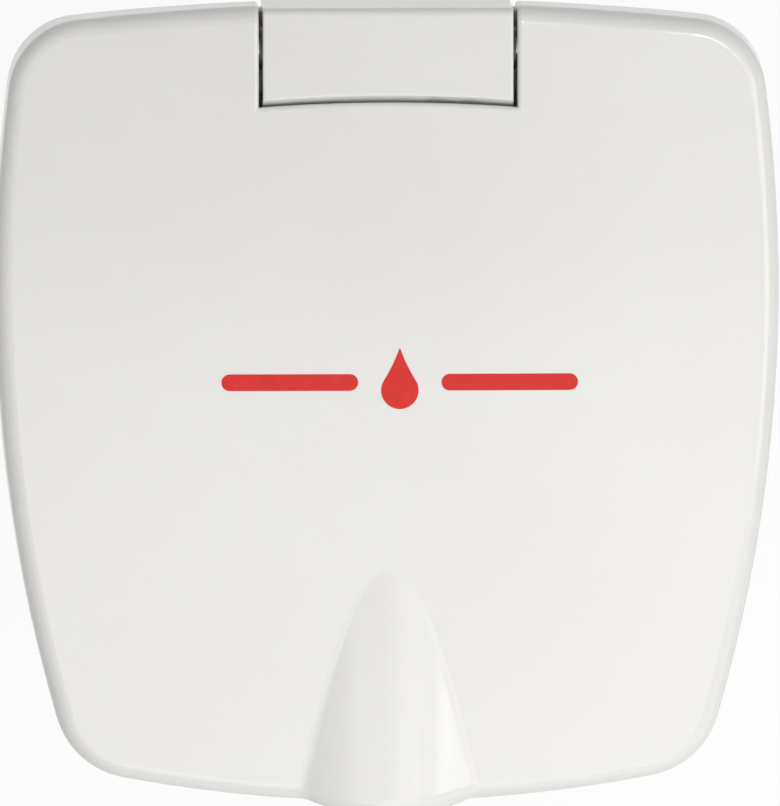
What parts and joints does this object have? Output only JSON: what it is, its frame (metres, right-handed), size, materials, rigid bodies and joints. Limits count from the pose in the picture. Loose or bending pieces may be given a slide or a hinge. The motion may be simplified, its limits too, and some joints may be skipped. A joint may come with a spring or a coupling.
{
  "type": "fuel shut-off pull box",
  "caption": "Flush deck box with a white hinged lid, finger nose and round cup that holds a red fuel shut-off pull handle.",
  "frame": {"origin": "axis of the cup at the deck's surface, under the gasket", "axes": "+Z out of the deck, +Y towards the hinge, +X to the right when the finger nose faces the viewer"},
  "size_m": [0.1174, 0.1218, 0.1128],
  "materials": {
    "white_abs": "glossy moulded white ABS",
    "cup_abs": "satin moulded white ABS",
    "black_rubber": "black rubber",
    "stainless": "stainless steel",
    "acetal": "black acetal",
    "plated_brass": "nickel-plated brass",
    "brass": "plain brass",
    "red_plastic": "glossy red nylon"
  },
  "bodies": {
    "housing": {"base_frame": "white_abs", "recess_cup": "cup_abs", "deck_gasket": "black_rubber", "deck_screws": "stainless", "lid_seal": "black_rubber", "hinge_bush_left": "acetal", "hinge_bush_right": "acetal", "control_gland": "plated_brass", "gland_seal_washer": "black_rubber", "gland_flat_washer": "stainless", "gland_lock_nut": "brass", "guide_bush": "acetal", "rod_o_ring": "black_rubber", "guide_screw": "stainless", "conduit_socket": "brass", "conduit_clamp_screw": "stainless"},
    "lid": {"lid": "white_abs", "hinge_pin_left": "stainless", "hinge_pin_right": "stainless"},
    "pull": {"pull_handle": "red_plastic", "pull_rod": "stainless", "handle_roll_pin": "stainless", "wire_clamp_screw": "stainless"}
  },
  "joints": [
    {"name": "lid_hinge", "type": "hinge", "parent": "housing", "child": "lid", "pos_m": [0, 0.06, 0.0106], "axis": [-1, 0, 0], "range_deg": [0, 180]},
    {"name": "pull_slide", "type": "slide", "parent": "housing", "child": "pull", "axis": [0, 0, 1], "range_m": [0, 0.028]}
  ]
}
